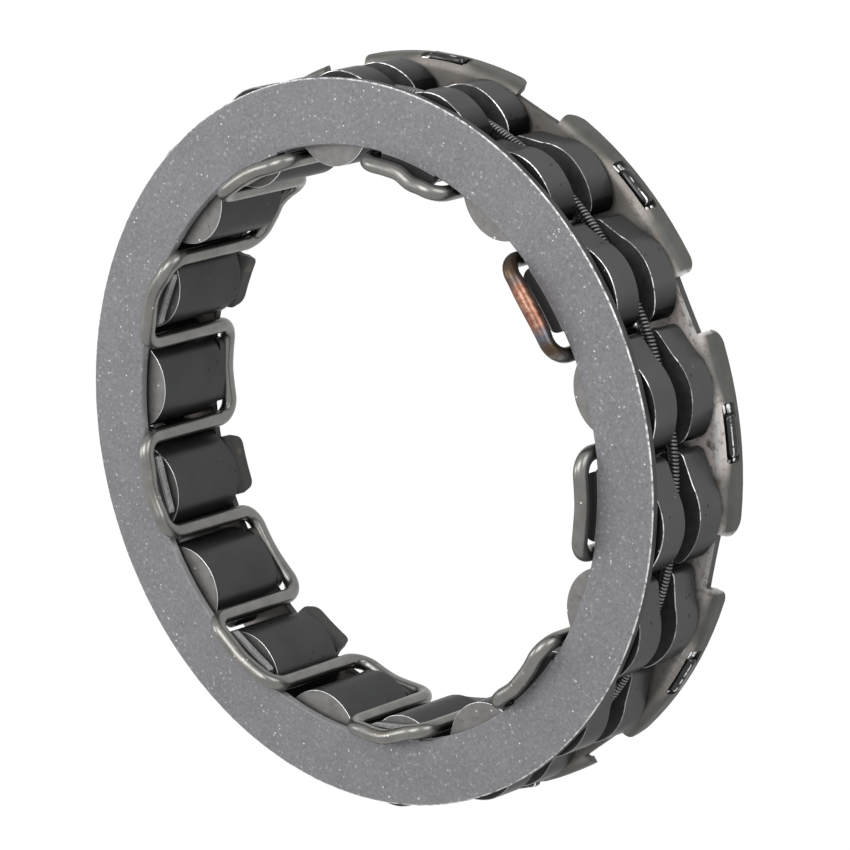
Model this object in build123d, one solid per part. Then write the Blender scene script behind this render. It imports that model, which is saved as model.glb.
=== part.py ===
"""Cage-type sprag clutch, free of its races, lying on the edges of its rear rim.

Millimetres, +Z along the clutch axis towards the plain front ring. The origin is
on the axis, level with the rear rim's edges. Angles run counter-clockwise seen
from the front, and one tab of the rear rim is centred on +X.
"""
import os
from math import asin, atan2, copysign, cos, degrees, radians, sin, sqrt, tan

from build123d import *

# The races that the clutch works between
SHAFT_RADIUS = 24.86
SPRAG_SPACE = 8.33

# Counts: each tab of the rear rim spans two sprags
TAB_COUNT = 9
SPRAGS_PER_TAB = 2

# Spacer wire
WIRE_DIAMETER = 1.4
WIRE_BEND_RADIUS = 1.7
WIRE_SHAFT_CLEARANCE = 0.51
FRONT_LOOP_CLEARANCE = 0.7
REAR_LOOP_CLEARANCE = 0.01
FOOT_CLEARANCE = 0.05

# Front ring
RING_THICKNESS = 0.65
RING_RACE_CLEARANCE = 0.19
RING_WIRE_CLEARANCE = 0.23
RING_EDGE_ROUND = 0.15

# Flat inner tabs of both side pieces
TAB_WIDTH = 6.2
TAB_CORNER_ROUND = 0.8
TAB_SHAFT_CLEARANCE = 1.0

# Rear plate
SHEET_THICKNESS = 0.65
BEND_INSIDE = 0.45
RIM_RACE_STEP = 0.67
RIM_GAP_WIDTH = 5.2
RIM_GAP_DEPTH = 1.0
RIM_CORNER_ROUND = 1.5
LIP_ROOT_WIDTH = 5.6
LIP_TIP_WIDTH = 4.6
LIP_CORNER_ROUND = 0.9
LIP_SHAFT_CLEARANCE = 0.9

# Windows in the rear rim
WINDOW_WIDTH = 5.3
WINDOW_HEIGHT = 1.35
WINDOW_SILL = 0.45
WINDOW_CORNER_ROUND = 0.35

# Drag clips in the windows
SHOE_WIDTH = 3.9
SHOE_PROUD = 0.3
SHOE_CLEARANCE = 0.06
SHOE_END_ROUND = 0.5
LEG_SPAN = 9.0
LEG_HEIGHT = 0.6
LEG_THICKNESS = 0.25
LEG_CLEARANCE = 0.03

# Sprags
SPRAG_LENGTH = 8.1
SPRAG_END_CLEARANCE = 0.33
SPRAG_SHAFT_CLEARANCE = 0.05
SPRAG_STAND_PROUD = 0.33
HEEL_REACH = 4.5
TOE_REACH = 5.35
INNER_CAM_RADIUS = 4.29
INNER_CAM_OFFSET = 0.2
HEEL_CAM_WRAP = 85
TOE_CAM_WRAP = 80
OUTER_CAM_RADIUS = 5.1
OUTER_CAM_OFFSET = -1.155
HEEL_FACET_WIDTH = 2.6
HEEL_FACET_SLOPE = 26
HEEL_FLANK_HEIGHT = 0.7
HEEL_CORNER_ROUND = 0.8
HEEL_NECK_DEPTH = 0.35
TOE_NOSE_RADIUS = 1.9
TOE_FLANK_HEIGHT = 0.15
TOE_NECK_DEPTH = 0.75

# Slot across each sprag's outer cam
SLOT_WIDTH = 2.14
HUMP_HEEL_SLOPE = 20
HUMP_TOE_SLOPE = 8

# Garter spring
SPRING_COIL_DIAMETER = 1.0
SPRING_DEPTH = 1.29
SPRING_SEAT_CLEARANCE = 0.3

# Cutters reach this far past what they cut
OVERCUT = 1.0

# Pitches
SPRAG_COUNT = TAB_COUNT * SPRAGS_PER_TAB
TAB_PITCH = 360 / TAB_COUNT
SPRAG_PITCH = 360 / SPRAG_COUNT

# Radii
RACE_BORE_RADIUS = SHAFT_RADIUS + SPRAG_SPACE
WIRE_RADIUS = WIRE_DIAMETER / 2
BAR_CIRCLE = SHAFT_RADIUS + WIRE_SHAFT_CLEARANCE + WIRE_RADIUS
LOOP_CIRCLE = sqrt(BAR_CIRCLE**2 - WIRE_BEND_RADIUS**2)
RING_RADIUS = RACE_BORE_RADIUS - RING_RACE_CLEARANCE
CAGE_BORE = BAR_CIRCLE + WIRE_RADIUS + RING_WIRE_CLEARANCE
TAB_END = SHAFT_RADIUS + TAB_SHAFT_CLEARANCE
LIP_RADIUS = SHAFT_RADIUS + LIP_SHAFT_CLEARANCE
BEND_OUTSIDE = BEND_INSIDE + SHEET_THICKNESS
RIM_RADIUS = RACE_BORE_RADIUS + RIM_RACE_STEP
RIM_INSIDE = RIM_RADIUS - SHEET_THICKNESS
SPRING_CIRCLE = RACE_BORE_RADIUS - SPRING_DEPTH - SPRING_COIL_DIAMETER / 2

# Heights above the rear rim's edges
REAR_LOOP_HEIGHT = FOOT_CLEARANCE + WIRE_RADIUS
PLATE_BACK = REAR_LOOP_HEIGHT + WIRE_RADIUS + REAR_LOOP_CLEARANCE
PLATE_FRONT = PLATE_BACK + SHEET_THICKNESS
SPRAG_BACK = PLATE_FRONT + SPRAG_END_CLEARANCE
SPRAG_FRONT = SPRAG_BACK + SPRAG_LENGTH
SPRAG_MIDDLE = (SPRAG_BACK + SPRAG_FRONT) / 2
RING_BACK = SPRAG_FRONT + SPRAG_END_CLEARANCE
RING_FRONT = RING_BACK + RING_THICKNESS
FRONT_LOOP_HEIGHT = RING_FRONT + FRONT_LOOP_CLEARANCE + WIRE_RADIUS
WINDOW_MIDDLE = WINDOW_SILL + WINDOW_HEIGHT / 2


def rim_tab_angle(number):
    """Centre of a tab of the rear rim; a bar of the wire stands there too."""
    return number * TAB_PITCH


def rear_loop_angle(number):
    return rim_tab_angle(number) + SPRAG_PITCH / 2


def front_loop_angle(number):
    return rear_loop_angle(number) + SPRAG_PITCH


def sprag_angle(number):
    return (number + 0.5) * SPRAG_PITCH


def around(shape, angle):
    """Turn a shape about the clutch axis."""
    return shape.rotate(Axis.Z, angle)


def on_cylinder(radius, angle, height):
    return Vector(radius * cos(radians(angle)), radius * sin(radians(angle)), height)


def rounded_at(face, corner, radius):
    """Round the corner of a face that lies nearest to a point."""
    return fillet(face.vertices().sort_by_distance(corner)[0], radius)


def flat_tab(angle, bottom, thickness):
    """One flat tab from the cage's bore inwards, rounded at its free corners."""
    root = CAGE_BORE + OVERCUT
    outline = Polyline(
        (root, -TAB_WIDTH / 2),
        (TAB_END, -TAB_WIDTH / 2),
        (TAB_END, TAB_WIDTH / 2),
        (root, TAB_WIDTH / 2),
        close=True,
    )
    blank = make_face(outline)
    blank = fillet(blank.vertices().group_by(Axis.X)[0], TAB_CORNER_ROUND)
    return around(Pos(0, 0, bottom) * extrude(blank, thickness), angle)


def front_ring():
    """Flat ring with nine inner tabs, which stop it against the wire's front loops."""
    ring = Pos(0, 0, RING_BACK) * extrude(Circle(RING_RADIUS) - Circle(CAGE_BORE), RING_THICKNESS)
    ring = fillet(ring.edges().group_by(Axis.Z)[-1], RING_EDGE_ROUND)
    for number in range(TAB_COUNT):
        ring += flat_tab(front_loop_angle(number), RING_BACK, RING_THICKNESS)
    return ring


def bent_section(root, wall):
    """Sheet section, flat from the root radius, then bent rearwards to a wall whose outside is at a radius."""
    inside = wall - copysign(SHEET_THICKNESS, wall - root)
    outline = Polyline(
        (root, PLATE_BACK),
        (root, PLATE_FRONT),
        (wall, PLATE_FRONT),
        (wall, 0),
        (inside, 0),
        (inside, PLATE_BACK),
        close=True,
    )
    section = rounded_at(make_face(outline), (wall, PLATE_FRONT), BEND_OUTSIDE)
    return Plane.XZ * rounded_at(section, (inside, PLATE_BACK), BEND_INSIDE)


def rim_gap(angle):
    """Cutter for the gap between two tabs of the rim, which rounds the tabs' corners as well."""
    half = RIM_GAP_WIDTH / 2
    wide = half + RIM_CORNER_ROUND + OVERCUT
    outline = Polyline(
        (-wide, -OVERCUT),
        (wide, -OVERCUT),
        (wide, 0),
        (half, 0),
        (half, PLATE_FRONT + OVERCUT),
        (-half, PLATE_FRONT + OVERCUT),
        (-half, 0),
        (-wide, 0),
        close=True,
    )
    gap = make_face(outline)
    gap = fillet(gap.vertices().sort_by_distance((0, 0))[:2], RIM_CORNER_ROUND)
    bottom = RIM_RADIUS - RIM_GAP_DEPTH
    return around(extrude(Plane.YZ.offset(bottom) * gap, RIM_GAP_DEPTH + OVERCUT), angle)


def window(angle):
    """Cutter for one tab's window, from outside the rim to the start of its bend."""
    slot = Pos(0, WINDOW_MIDDLE) * RectangleRounded(WINDOW_WIDTH, WINDOW_HEIGHT, WINDOW_CORNER_ROUND)
    bottom = RIM_RADIUS - BEND_OUTSIDE
    return around(extrude(Plane.YZ.offset(bottom) * slot, BEND_OUTSIDE + OVERCUT), angle)


def rear_lip(angle):
    """One inner lip, bent rearwards and narrowed towards its rounded end."""
    root = CAGE_BORE + OVERCUT
    strip = around(revolve(bent_section(root, LIP_RADIUS), Axis.Z, TAB_PITCH), -TAB_PITCH / 2)
    outline = Polyline(
        (-LIP_TIP_WIDTH / 2, 0),
        (LIP_TIP_WIDTH / 2, 0),
        (LIP_ROOT_WIDTH / 2, PLATE_BACK),
        (LIP_ROOT_WIDTH / 2, PLATE_FRONT + OVERCUT),
        (-LIP_ROOT_WIDTH / 2, PLATE_FRONT + OVERCUT),
        (-LIP_ROOT_WIDTH / 2, PLATE_BACK),
        close=True,
    )
    blank = make_face(outline)
    blank = fillet(blank.vertices().group_by(Axis.Y)[0], LIP_CORNER_ROUND)
    return around(strip & extrude(Plane.YZ * blank, root + OVERCUT), angle)


def rear_plate():
    """Pressed plate: flange, nine windowed rim tabs, nine flat inner tabs and nine bent lips."""
    plate = revolve(bent_section(CAGE_BORE, RIM_RADIUS), Axis.Z)
    for number in range(TAB_COUNT):
        plate -= rim_gap(rim_tab_angle(number) + TAB_PITCH / 2)
        plate -= window(rim_tab_angle(number))
    for number in range(TAB_COUNT):
        plate += flat_tab(rear_loop_angle(number), PLATE_BACK, SHEET_THICKNESS)
        plate += rear_lip(front_loop_angle(number))
    return plate


def wire_loop(first, height, towards_middle):
    """Centre line of one loop: a bend out of a bar, a run round the axis, a bend into the next bar."""
    lead = degrees(atan2(WIRE_BEND_RADIUS, LOOP_CIRCLE))
    start = first + lead
    end = first + SPRAG_PITCH - lead
    bar_height = height + WIRE_BEND_RADIUS * towards_middle
    run_start = on_cylinder(LOOP_CIRCLE, start, height)
    run_middle = on_cylinder(LOOP_CIRCLE, (start + end) / 2, height)
    run_end = on_cylinder(LOOP_CIRCLE, end, height)
    out_of_bar = (0, 0, -towards_middle)
    into_bar = (0, 0, towards_middle)
    return [
        TangentArc(on_cylinder(BAR_CIRCLE, first, bar_height), run_start, tangent=out_of_bar),
        ThreePointArc(run_start, run_middle, run_end),
        TangentArc(
            on_cylinder(BAR_CIRCLE, first + SPRAG_PITCH, bar_height),
            run_end,
            tangent=out_of_bar,
        ),
    ]


def spacer_wire():
    """One closed round wire: a bar between each two sprags, looped behind and in front by turns."""
    rear_end = REAR_LOOP_HEIGHT + WIRE_BEND_RADIUS
    front_end = FRONT_LOOP_HEIGHT - WIRE_BEND_RADIUS
    start = on_cylinder(BAR_CIRCLE, 0, SPRAG_MIDDLE)
    path = Wire([
        Line(start, on_cylinder(BAR_CIRCLE, 0, rear_end)),
        *wire_loop(0, REAR_LOOP_HEIGHT, 1),
        Line(on_cylinder(BAR_CIRCLE, SPRAG_PITCH, rear_end), on_cylinder(BAR_CIRCLE, SPRAG_PITCH, front_end)),
        *wire_loop(SPRAG_PITCH, FRONT_LOOP_HEIGHT, -1),
        Line(on_cylinder(BAR_CIRCLE, TAB_PITCH, front_end), on_cylinder(BAR_CIRCLE, TAB_PITCH, SPRAG_MIDDLE)),
    ])
    section = Plane(origin=start, z_dir=(0, 0, -1)) * Circle(WIRE_RADIUS)
    unit = sweep(section, path=path)
    wire = Part()
    for number in range(TAB_COUNT):
        wire += around(unit, rim_tab_angle(number))
    return wire


def inner_cam_centre():
    """The inner cam's centre, which the sprag rocks about, in its own frame."""
    return Vector(INNER_CAM_OFFSET, SHAFT_RADIUS + SPRAG_SHAFT_CLEARANCE + INNER_CAM_RADIUS)


def outer_cam_centre():
    """The outer cam's centre: standing free, the cam reaches past the race bore."""
    reach = RACE_BORE_RADIUS + SPRAG_STAND_PROUD - OUTER_CAM_RADIUS
    return Vector(OUTER_CAM_OFFSET, sqrt(reach**2 - OUTER_CAM_OFFSET**2))


def on_circle(centre, radius, angle):
    """A point on a circle at an angle from straight outwards, positive towards the heel."""
    return centre + Vector(radius * sin(radians(angle)), radius * cos(radians(angle)))


def on_outer_cam(reach):
    """The outer cam's surface at a distance towards the heel."""
    centre = outer_cam_centre()
    return on_circle(centre, OUTER_CAM_RADIUS, degrees(asin((reach - centre.X) / OUTER_CAM_RADIUS)))


def toe_nose_centre():
    """The centre of the toe's nose, an arc that runs smoothly on from the outer cam."""
    cam = outer_cam_centre()
    along = TOE_NOSE_RADIUS - TOE_REACH - cam.X
    return cam + Vector(along, sqrt((OUTER_CAM_RADIUS - TOE_NOSE_RADIUS)**2 - along**2))


def sprag_profile():
    """The sprag's outline: x towards its heel, y outwards from the clutch axis."""
    inner = inner_cam_centre()
    outer = outer_cam_centre()
    nose = toe_nose_centre()
    nose_lean = degrees(atan2(nose.X - outer.X, nose.Y - outer.Y))
    nose_start = on_circle(outer, OUTER_CAM_RADIUS, nose_lean)
    nose_middle = on_circle(nose, TOE_NOSE_RADIUS, (nose_lean - 90) / 2)
    nose_end = on_circle(nose, TOE_NOSE_RADIUS, -90)
    apex = on_outer_cam(OUTER_CAM_OFFSET)
    facet_top = on_outer_cam(HEEL_REACH - HEEL_FACET_WIDTH)
    heel_top = Vector(HEEL_REACH, facet_top.Y - HEEL_FACET_WIDTH * tan(radians(HEEL_FACET_SLOPE)))
    heel_foot = heel_top - Vector(0, HEEL_FLANK_HEIGHT)
    toe_foot = nose_end - Vector(0, TOE_FLANK_HEIGHT)
    heel_cam = on_circle(inner, INNER_CAM_RADIUS, 180 - HEEL_CAM_WRAP)
    toe_cam = on_circle(inner, INNER_CAM_RADIUS, TOE_CAM_WRAP - 180)
    heel_neck = Vector(HEEL_REACH - HEEL_NECK_DEPTH, (heel_foot.Y + heel_cam.Y) / 2)
    toe_neck = Vector(TOE_NECK_DEPTH - TOE_REACH, (toe_foot.Y + toe_cam.Y) / 2)
    profile = make_face([
        ThreePointArc(nose_start, apex, facet_top),
        *Polyline(facet_top, heel_top, heel_foot).edges(),
        ThreePointArc(heel_foot, heel_neck, heel_cam),
        ThreePointArc(heel_cam, on_circle(inner, INNER_CAM_RADIUS, 180), toe_cam),
        ThreePointArc(toe_cam, toe_neck, toe_foot),
        Line(toe_foot, nose_end),
        ThreePointArc(nose_end, nose_middle, nose_start),
    ])
    return rounded_at(profile, heel_top, HEEL_CORNER_ROUND)


def slot_profile():
    """What the slot takes away: all outside a rounded hump that the garter spring presses on."""
    centre = inner_cam_centre()
    hump = SPRING_CIRCLE - SPRING_COIL_DIAMETER / 2 - SPRING_SEAT_CLEARANCE - centre.Y
    heel = on_circle(centre, hump, HUMP_HEEL_SLOPE)
    toe = on_circle(centre, hump, -HUMP_TOE_SLOPE)
    side = OUTER_CAM_RADIUS + OVERCUT
    heel_side = Vector(side, heel.Y - (side - heel.X) * tan(radians(HUMP_HEEL_SLOPE)))
    toe_side = Vector(-side, toe.Y - (side + toe.X) * tan(radians(HUMP_TOE_SLOPE)))
    top = RACE_BORE_RADIUS + OVERCUT
    return make_face([
        ThreePointArc(toe, on_circle(centre, hump, 0), heel),
        *Polyline(heel, heel_side, (side, top), (-side, top), toe_side, toe).edges(),
    ])


def stood_along_axis(profile, front, length):
    """Stand a sprag-frame profile on +Y, heel leading counter-clockwise, from its front end rearwards."""
    return extrude(Plane(origin=(0, 0, front), x_dir=(-1, 0, 0), z_dir=(0, 0, -1)) * profile, length)


def sprag():
    """One sprag standing free on +Y."""
    body = stood_along_axis(sprag_profile(), SPRAG_FRONT, SPRAG_LENGTH)
    slot = stood_along_axis(slot_profile(), SPRAG_MIDDLE + SLOT_WIDTH / 2, SLOT_WIDTH)
    return body - slot


def garter_spring():
    """The outer shape of the closed coil spring."""
    return Pos(0, 0, SPRAG_MIDDLE) * Torus(SPRING_CIRCLE, SPRING_COIL_DIAMETER / 2)


def drag_clip():
    """Shoe through the window on +X, on a thin leg that runs both ways behind the rim."""
    crown = RIM_RADIUS + SHOE_PROUD
    leg_outside = RIM_INSIDE - LEG_CLEARANCE
    leg_inside = leg_outside - LEG_THICKNESS
    height = WINDOW_HEIGHT - 2 * SHOE_CLEARANCE
    shoe = Pos((crown + leg_inside) / 2, 0, WINDOW_MIDDLE) * Box(crown - leg_inside, SHOE_WIDTH, height)
    shoe = fillet(shoe.edges().group_by(Axis.X)[-1], SHOE_END_ROUND)
    leg_middle = PLATE_BACK - BEND_INSIDE - LEG_HEIGHT / 2
    strip = Pos(0, 0, leg_middle) * extrude(Circle(leg_outside) - Circle(leg_inside), LEG_HEIGHT / 2, both=True)
    leg = strip & Pos(crown, 0, leg_middle) * Box(crown, LEG_SPAN, LEG_HEIGHT)
    return shoe + leg


def main():
    os.makedirs("parts", exist_ok=True)
    export_step(front_ring(), "parts/front_ring.step")
    export_step(rear_plate(), "parts/rear_plate.step")
    export_step(spacer_wire(), "parts/spacer_wire.step")
    export_step(garter_spring(), "parts/garter_spring.step")
    standing = sprag()
    for number in range(SPRAG_COUNT):
        export_step(around(standing, sprag_angle(number) - 90), f"parts/sprag_{number + 1:02d}.step")
    clip = drag_clip()
    for number in range(TAB_COUNT):
        export_step(around(clip, rim_tab_angle(number)), f"parts/drag_clip_{number + 1}.step")


main()
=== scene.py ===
"""The looks of a cage-type sprag clutch: its steels, its bent wire and its coiled garter spring.

Metres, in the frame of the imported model: +Z along the clutch axis towards the
plain front ring, and one tab of the rear rim centred on +X. Sizes are written in
millimetres times MM. A finish's places are plain millimetres: radii from the
clutch axis and heights above the rear rim's edges.
"""
from math import atan2, cos, radians, sin, sqrt, tau

import bmesh
import bpy
from mathutils import Matrix, Vector


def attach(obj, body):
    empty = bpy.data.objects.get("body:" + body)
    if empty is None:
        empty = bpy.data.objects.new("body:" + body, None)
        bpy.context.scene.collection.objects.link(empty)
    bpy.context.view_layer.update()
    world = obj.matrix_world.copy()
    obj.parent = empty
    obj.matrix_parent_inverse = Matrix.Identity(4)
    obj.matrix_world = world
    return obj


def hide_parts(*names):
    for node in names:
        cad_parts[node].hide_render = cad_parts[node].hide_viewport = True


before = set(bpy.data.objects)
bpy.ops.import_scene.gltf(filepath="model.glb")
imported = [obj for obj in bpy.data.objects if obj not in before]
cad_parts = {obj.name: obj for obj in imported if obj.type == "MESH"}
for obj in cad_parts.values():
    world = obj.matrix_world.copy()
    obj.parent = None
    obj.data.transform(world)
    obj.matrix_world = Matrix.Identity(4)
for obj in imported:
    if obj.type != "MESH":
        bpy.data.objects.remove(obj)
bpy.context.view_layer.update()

MM = 0.001

# Counts and pitches
TABS = 9
SPRAGS = 18
SPRAG_PITCH = tau / SPRAGS
TAB_PITCH = tau / TABS

# Axial places, from the rear rim's edges
REAR_LOOP_HEIGHT = 0.75 * MM
FRONT_LOOP_HEIGHT = 12.92 * MM
SPRING_HEIGHT = 6.49 * MM
RING_FRONT = 11.52 * MM

# Spacer wire
WIRE_RADIUS = 0.7 * MM
WIRE_SIDES = 24
BAR_CIRCLE = 26.07 * MM
WIRE_BEND = 1.7 * MM
LOOP_CIRCLE = sqrt(BAR_CIRCLE**2 - WIRE_BEND**2)
BEND_STEPS = 8
RUN_STEPS = 24

# The front loop in which the wire's ends are welded, and how the weld swells and shifts it
WELDED_LOOP = radians(30)
WELD_REACH = radians(7)
WELD_SWELLING = 0.12
WELD_SHIFT = 0.42 * MM

# How each hand-formed loop departs from the even one, in millimetres: how far its run is lifted,
# then how far it stands out from the circle at even steps from its first end
FRONT_LOOPS = (
    (-0.2, (-0.2, -0.2, -0.2, -0.15, 0.0)),
    (-0.4, (-0.13, -0.26, 0.08, 0.07, 0.0)),
    (-0.3, (0.0, 0.1, 0.15, 0.1, 0.05)),
    (-0.35, (0.0, 0.3, 0.4, 0.2, 0.0)),
    (-0.3, (-0.05, 0.0, 0.15, 0.1, -0.05)),
    (-0.3, (0.0, 0.05, 0.15, 0.1, 0.0)),
    (-0.4, (0.1, 0.35, 0.45, 0.2, 0.0)),
    (-0.35, (0.12, 0.3, 0.25, 0.17, 0.0)),
    (-0.4, (0.13, 0.1, 0.12, 0.05, 0.0)),
)
REAR_LOOPS = (
    (0.0, (0.25, 0.3, 0.3, 0.16, 0.05)),
    (0.0, (0.22, 0.34, 0.36, 0.2, 0.08)),
    (0.0, (0.3, 0.32, 0.27, 0.15, 0.02)),
    (0.0, (0.2, 0.4, 0.45, 0.2, 0.1)),
    (0.0, (0.38, 0.38, 0.36, 0.2, 0.05)),
    (0.0, (0.3, 0.3, 0.25, 0.12, 0.0)),
    (0.0, (0.15, 0.25, 0.3, 0.22, 0.15)),
    (0.0, (0.28, 0.33, 0.31, 0.18, 0.06)),
    (0.0, (0.24, 0.36, 0.33, 0.14, 0.04)),
)

# Copies of carried-over meshes: points this close are merged, faces this flat are joined
MERGE_DISTANCE = 0.001 * MM
FLAT_WITHIN = radians(0.6)
SHARP_BEYOND = radians(35)
EASING_STEPS = 3

# Front ring: its eased edges, and the ends of its tabs
RING_EASING = 0.05 * MM
TAB_ROOT = 26.9 * MM
TAB_DRAWN_OVER = 0.9 * MM
TAB_DRAW = 0.22 * MM

# Sprags: eased edges, and how the toe is filled out towards the next sprag
SPRAG_EASING = 0.26 * MM
REAR_EASING = 0.5
END_SKIN = 0.01 * MM
FLAT_ENOUGH = 0.9
TOE_STARTS = 1.0 * MM
TOE_FADES = 3.5 * MM
TOE_NECK = 26.4 * MM
TOE_NECK_FADES = 1.8 * MM
TOE_FULLER = 0.26 * MM
TOE_LOWER = 0.15 * MM

# Places of a sprag's finishes in its list of materials, after that of its cams
END_FINISH = 1
EDGE_FINISH = 2
SLOT_FINISH = 3

# Spring shoes
SHOE_ROOT = 33.2 * MM
SHOE_HALF = 1.95 * MM
SHOE_SHIFT = 0.2 * MM
SHOE_MIDDLE_HEIGHT = 1.125 * MM
SHOE_END = 0.6 * MM
SHOE_END_CUTS = 5
SHOE_END_NARROWS = 0.6
SHOE_END_DROOPS = 0.1 * MM

# The shoes' curled tips: each one's middle and length along the window, its height and its width,
# in millimetres
TIP_RADIUS = 33.5 * MM
TIP_THICKNESS = 0.24 * MM
TIP_SEGMENTS = 16
TIP_RINGS = 10
TIPS = (
    (2.1, 1.05, 0.82, 0.72),
    (2.14, 0.95, 1.58, 0.3),
    (-2.4, 0.42, 0.76, 0.5),
    (-2.42, 0.36, 1.5, 0.34),
)

# Garter spring
SPRING_CIRCLE = 31.4 * MM
COIL_RADIUS = 0.37 * MM
COIL_WIRE_RADIUS = 0.13 * MM
COIL_TURNS = 590
COIL_STEPS = 10
COIL_WIRE_SIDES = 6

# Colours of the blasted ring
BLASTED_DARK = (0.2, 0.198, 0.21, 1.0)
BLASTED_LIGHT = (0.23, 0.228, 0.241, 1.0)
BLASTED_MOTTLE = (0.33, 0.33, 0.344, 1.0)
BLASTED_SHADE = (0.145, 0.145, 0.153, 1.0)

# Bands of the ring's finish, each from where it starts to where it is full
RING_RIM_HIGHLIGHT_FROM = (32.84, 32.93)
RING_WALL_FROM = (32.9, 32.96)
RING_EDGE_ABOVE = (11.36, 11.42)
RING_EDGE_BELOW = (11.42, 11.36)
RING_BORE_HIGHLIGHT = (26.98, 27.0)
RING_BORE_HIGHLIGHT_BLUR = 0.02
SHADED_TAB_FACES = (25.95, 26.93)
TAB_FACE_BLUR = 0.05
TAB_END_WITHIN = (25.9, 25.88)

# Colours of the pressed plate
PLATE_WARM = (0.34, 0.305, 0.275, 1.0)
PLATE_LIGHT = (0.48, 0.43, 0.395, 1.0)
PLATE_ROSE = (0.72, 0.635, 0.595, 1.0)
PLATE_PALE = (0.88, 0.82, 0.78, 1.0)
PLATE_BROWN = (0.24, 0.2, 0.175, 1.0)
OLIVE_DARK = (0.08, 0.079, 0.071, 1.0)
OLIVE_LIGHT = (0.11, 0.109, 0.099, 1.0)

# Bands of the plate's finish: by angle off the side painted as lit, by radius and height, and by share
# of a tab's pitch off the middle of the nearest gap
LIT_SIDE_MIDDLE = radians(-2)
LIT_SIDE_WITHIN = (radians(42), radians(18))
GREY_ABOVE = (1.5, 1.8)
OLIVE_BELOW = (2.1, 1.7)
OLIVE_LOWER_AT_WINDOW = 0.3
WINDOW_FROM = (0.28, 0.4)
HEADS_FROM = (0.14, 0.2)
HEADS_UNTIL = (0.4, 0.32)
HEADS_DARKER_BEYOND = (31.7, 32.4)
BEND_HIGHLIGHT_ABOVE = (2.02, 2.05)
BEND_HIGHLIGHT_BEYOND = (32.5, 32.6)
BEND_HIGHLIGHT_BY_WINDOW = (0.33, 0.4)
GAP_HIGHLIGHT_BEYOND = (32.35, 32.45)
GAP_WITHIN = (0.13, 0.11)
SHADED_BORE_WITHIN = (27.3, 27.0)
CUT_EDGE_WITHIN = (33.2, 33.0)

# Colours of the drawn wire, and of its heat tint by the weld
WIRE_DARK = (0.16, 0.158, 0.149, 1.0)
WIRE_LIGHT = (0.215, 0.212, 0.2, 1.0)
WIRE_SCAR = (0.25, 0.2, 0.17, 1.0)
HEAT_BROWN_DARK = (0.16, 0.068, 0.042, 1.0)
HEAT_BROWN_LIGHT = (0.36, 0.2, 0.15, 1.0)
HEAT_BLUE_DARK = (0.075, 0.085, 0.11, 1.0)
HEAT_BLUE_LIGHT = (0.13, 0.14, 0.16, 1.0)
HEAT_TEMPERED = (0.085, 0.058, 0.04, 1.0)

# Bands of the wire's finish: by height and radius, by share of a tab's pitch, and by angle past the
# weld's middle
FRONT_LOOP_FROM = (11.0, 12.0)
LOOP_MIDDLE = 0.75
TOOL_MARK_WITHIN = (0.09, 0.05)
HEATED_ABOVE = (9.0, 11.5)
HEATED_WITHIN = (0.2, 0.17)
HEAT_BLUE_FROM = (0.07, 0.11)
HEAT_TEMPERED_PAST = (0.06, 0.12)
HEAT_TEMPERED_BEFORE = (-0.11, -0.15)
HEAT_WAVER = 0.05
CRACKS_PER_RADIAN = 38.0
WIRE_SHADED_BACK_BEYOND = (26.15, 26.5)
WIRE_SHADED_BACK_ABOVE = (1.6, 2.4)
WIRE_SHADED_BACK_BELOW = (11.0, 10.4)

# Bands of the sprags' and the shoes' finishes
OUTER_CAM_BEYOND = (28.5, 30.0)
SHADED_TOE_FROM = (0.3, 0.7)
END_SHADED_BEYOND = (29.5, 31.5)
BORE_SIDE_WITHIN = (29.0, 27.5)
HIGHLIGHT_ABOVE_ANGLE = (radians(-42), radians(-12))
SHOE_HIGHLIGHT_HEIGHT = 1.47
SHOE_HIGHLIGHT_WITHIN = (0.12, 0.08)
SHOE_CROWN_FROM = (33.6, 33.75)

# Camera, in the photograph's own frame, whose first axis lies this far clockwise of +X
PHOTO_TURN = 1.5
CAMERA_FROM_RING = Vector((303.3, 65.1, 326.7)) * MM
CAMERA_RIGHT = Vector((0.74787, -0.12619, -0.65173))
CAMERA_UP = Vector((0.0, 0.98177, -0.19009))
CAMERA_BACK = Vector((0.66384, 0.14216, 0.73424))
CAMERA_LENS = 214.4
SENSOR_WIDTH = 36.0
NEAREST_SEEN = 0.01
FARTHEST_SEEN = 20.0

# Softboxes: how far each stands to the camera's right, up and back, its width, and its watts
SOFTBOXES = {
    "key_softbox": ((-0.45, 0.25, 0.5), 0.44, 2.6),
    "fill_softbox": ((0.3, 0.4, 0.6), 0.5, 2.2),
    "side_softbox": ((-0.7, 0.1, 0.02), 0.26, 0.9),
}

# White surround and floor: their light on the part, and how they look
SURROUND_LIGHT = 0.3
FLOOR_REACH = 3.0
PAPER_LEVEL = 0.85
PAPER_GLOW = 1.06
PAPER_GLOW_SHARE = 0.95


def put(tree, kind, inputs=None, **settings):
    """Add a node, set its options, then fill or link its inputs by name or number."""
    node = tree.nodes.new(kind)
    for name, value in settings.items():
        setattr(node, name, value)
    for name, value in (inputs or {}).items():
        socket = node.inputs[name]
        if isinstance(value, bpy.types.NodeSocket):
            tree.links.new(value, socket)
        else:
            socket.default_value = value
    return node


def maths(tree, operation, first, second=0.0):
    """The result of one sum with numbers or links."""
    return put(tree, "ShaderNodeMath", {0: first, 1: second}, operation=operation).outputs[0]


def grey(level, warmth=0.0):
    """A linear grey, warmed towards brown or, below nought, cooled towards blue."""
    return (level * (1 + warmth), level, level * (1 - warmth), 1.0)


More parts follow.
